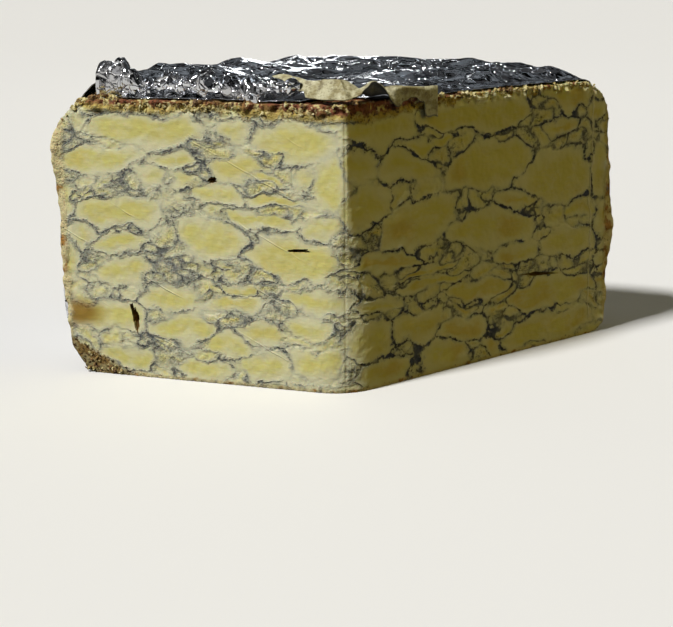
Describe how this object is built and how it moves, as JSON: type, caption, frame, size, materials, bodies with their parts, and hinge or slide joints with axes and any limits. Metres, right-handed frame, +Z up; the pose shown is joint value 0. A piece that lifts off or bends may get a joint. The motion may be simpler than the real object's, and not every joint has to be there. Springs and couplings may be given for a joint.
{
  "type": "blue cheese wedge",
  "caption": "Large wedge cut from a drum of blue-veined cheese: flat cut faces that meet at a front edge, a lumpy rind, crumpled foil over the top and side, and a paper strip on its top edge.",
  "frame": {"origin": "on the base, under the middle of the whole wedge's outline", "axes": "+Z up; the front edge, where the cut faces meet, points to -Y; +X to the right of someone who faces that edge"},
  "size_m": [0.1786, 0.1081, 0.0952],
  "materials": {
    "paste": "moist cheese paste, veined blue-grey",
    "foil": "crumpled kitchen foil",
    "label": "greasy waxed paper"
  },
  "bodies": {
    "root": {"cheese": "paste", "foil_wrap": "foil", "label_strip": "label"}
  },
  "joints": []
}
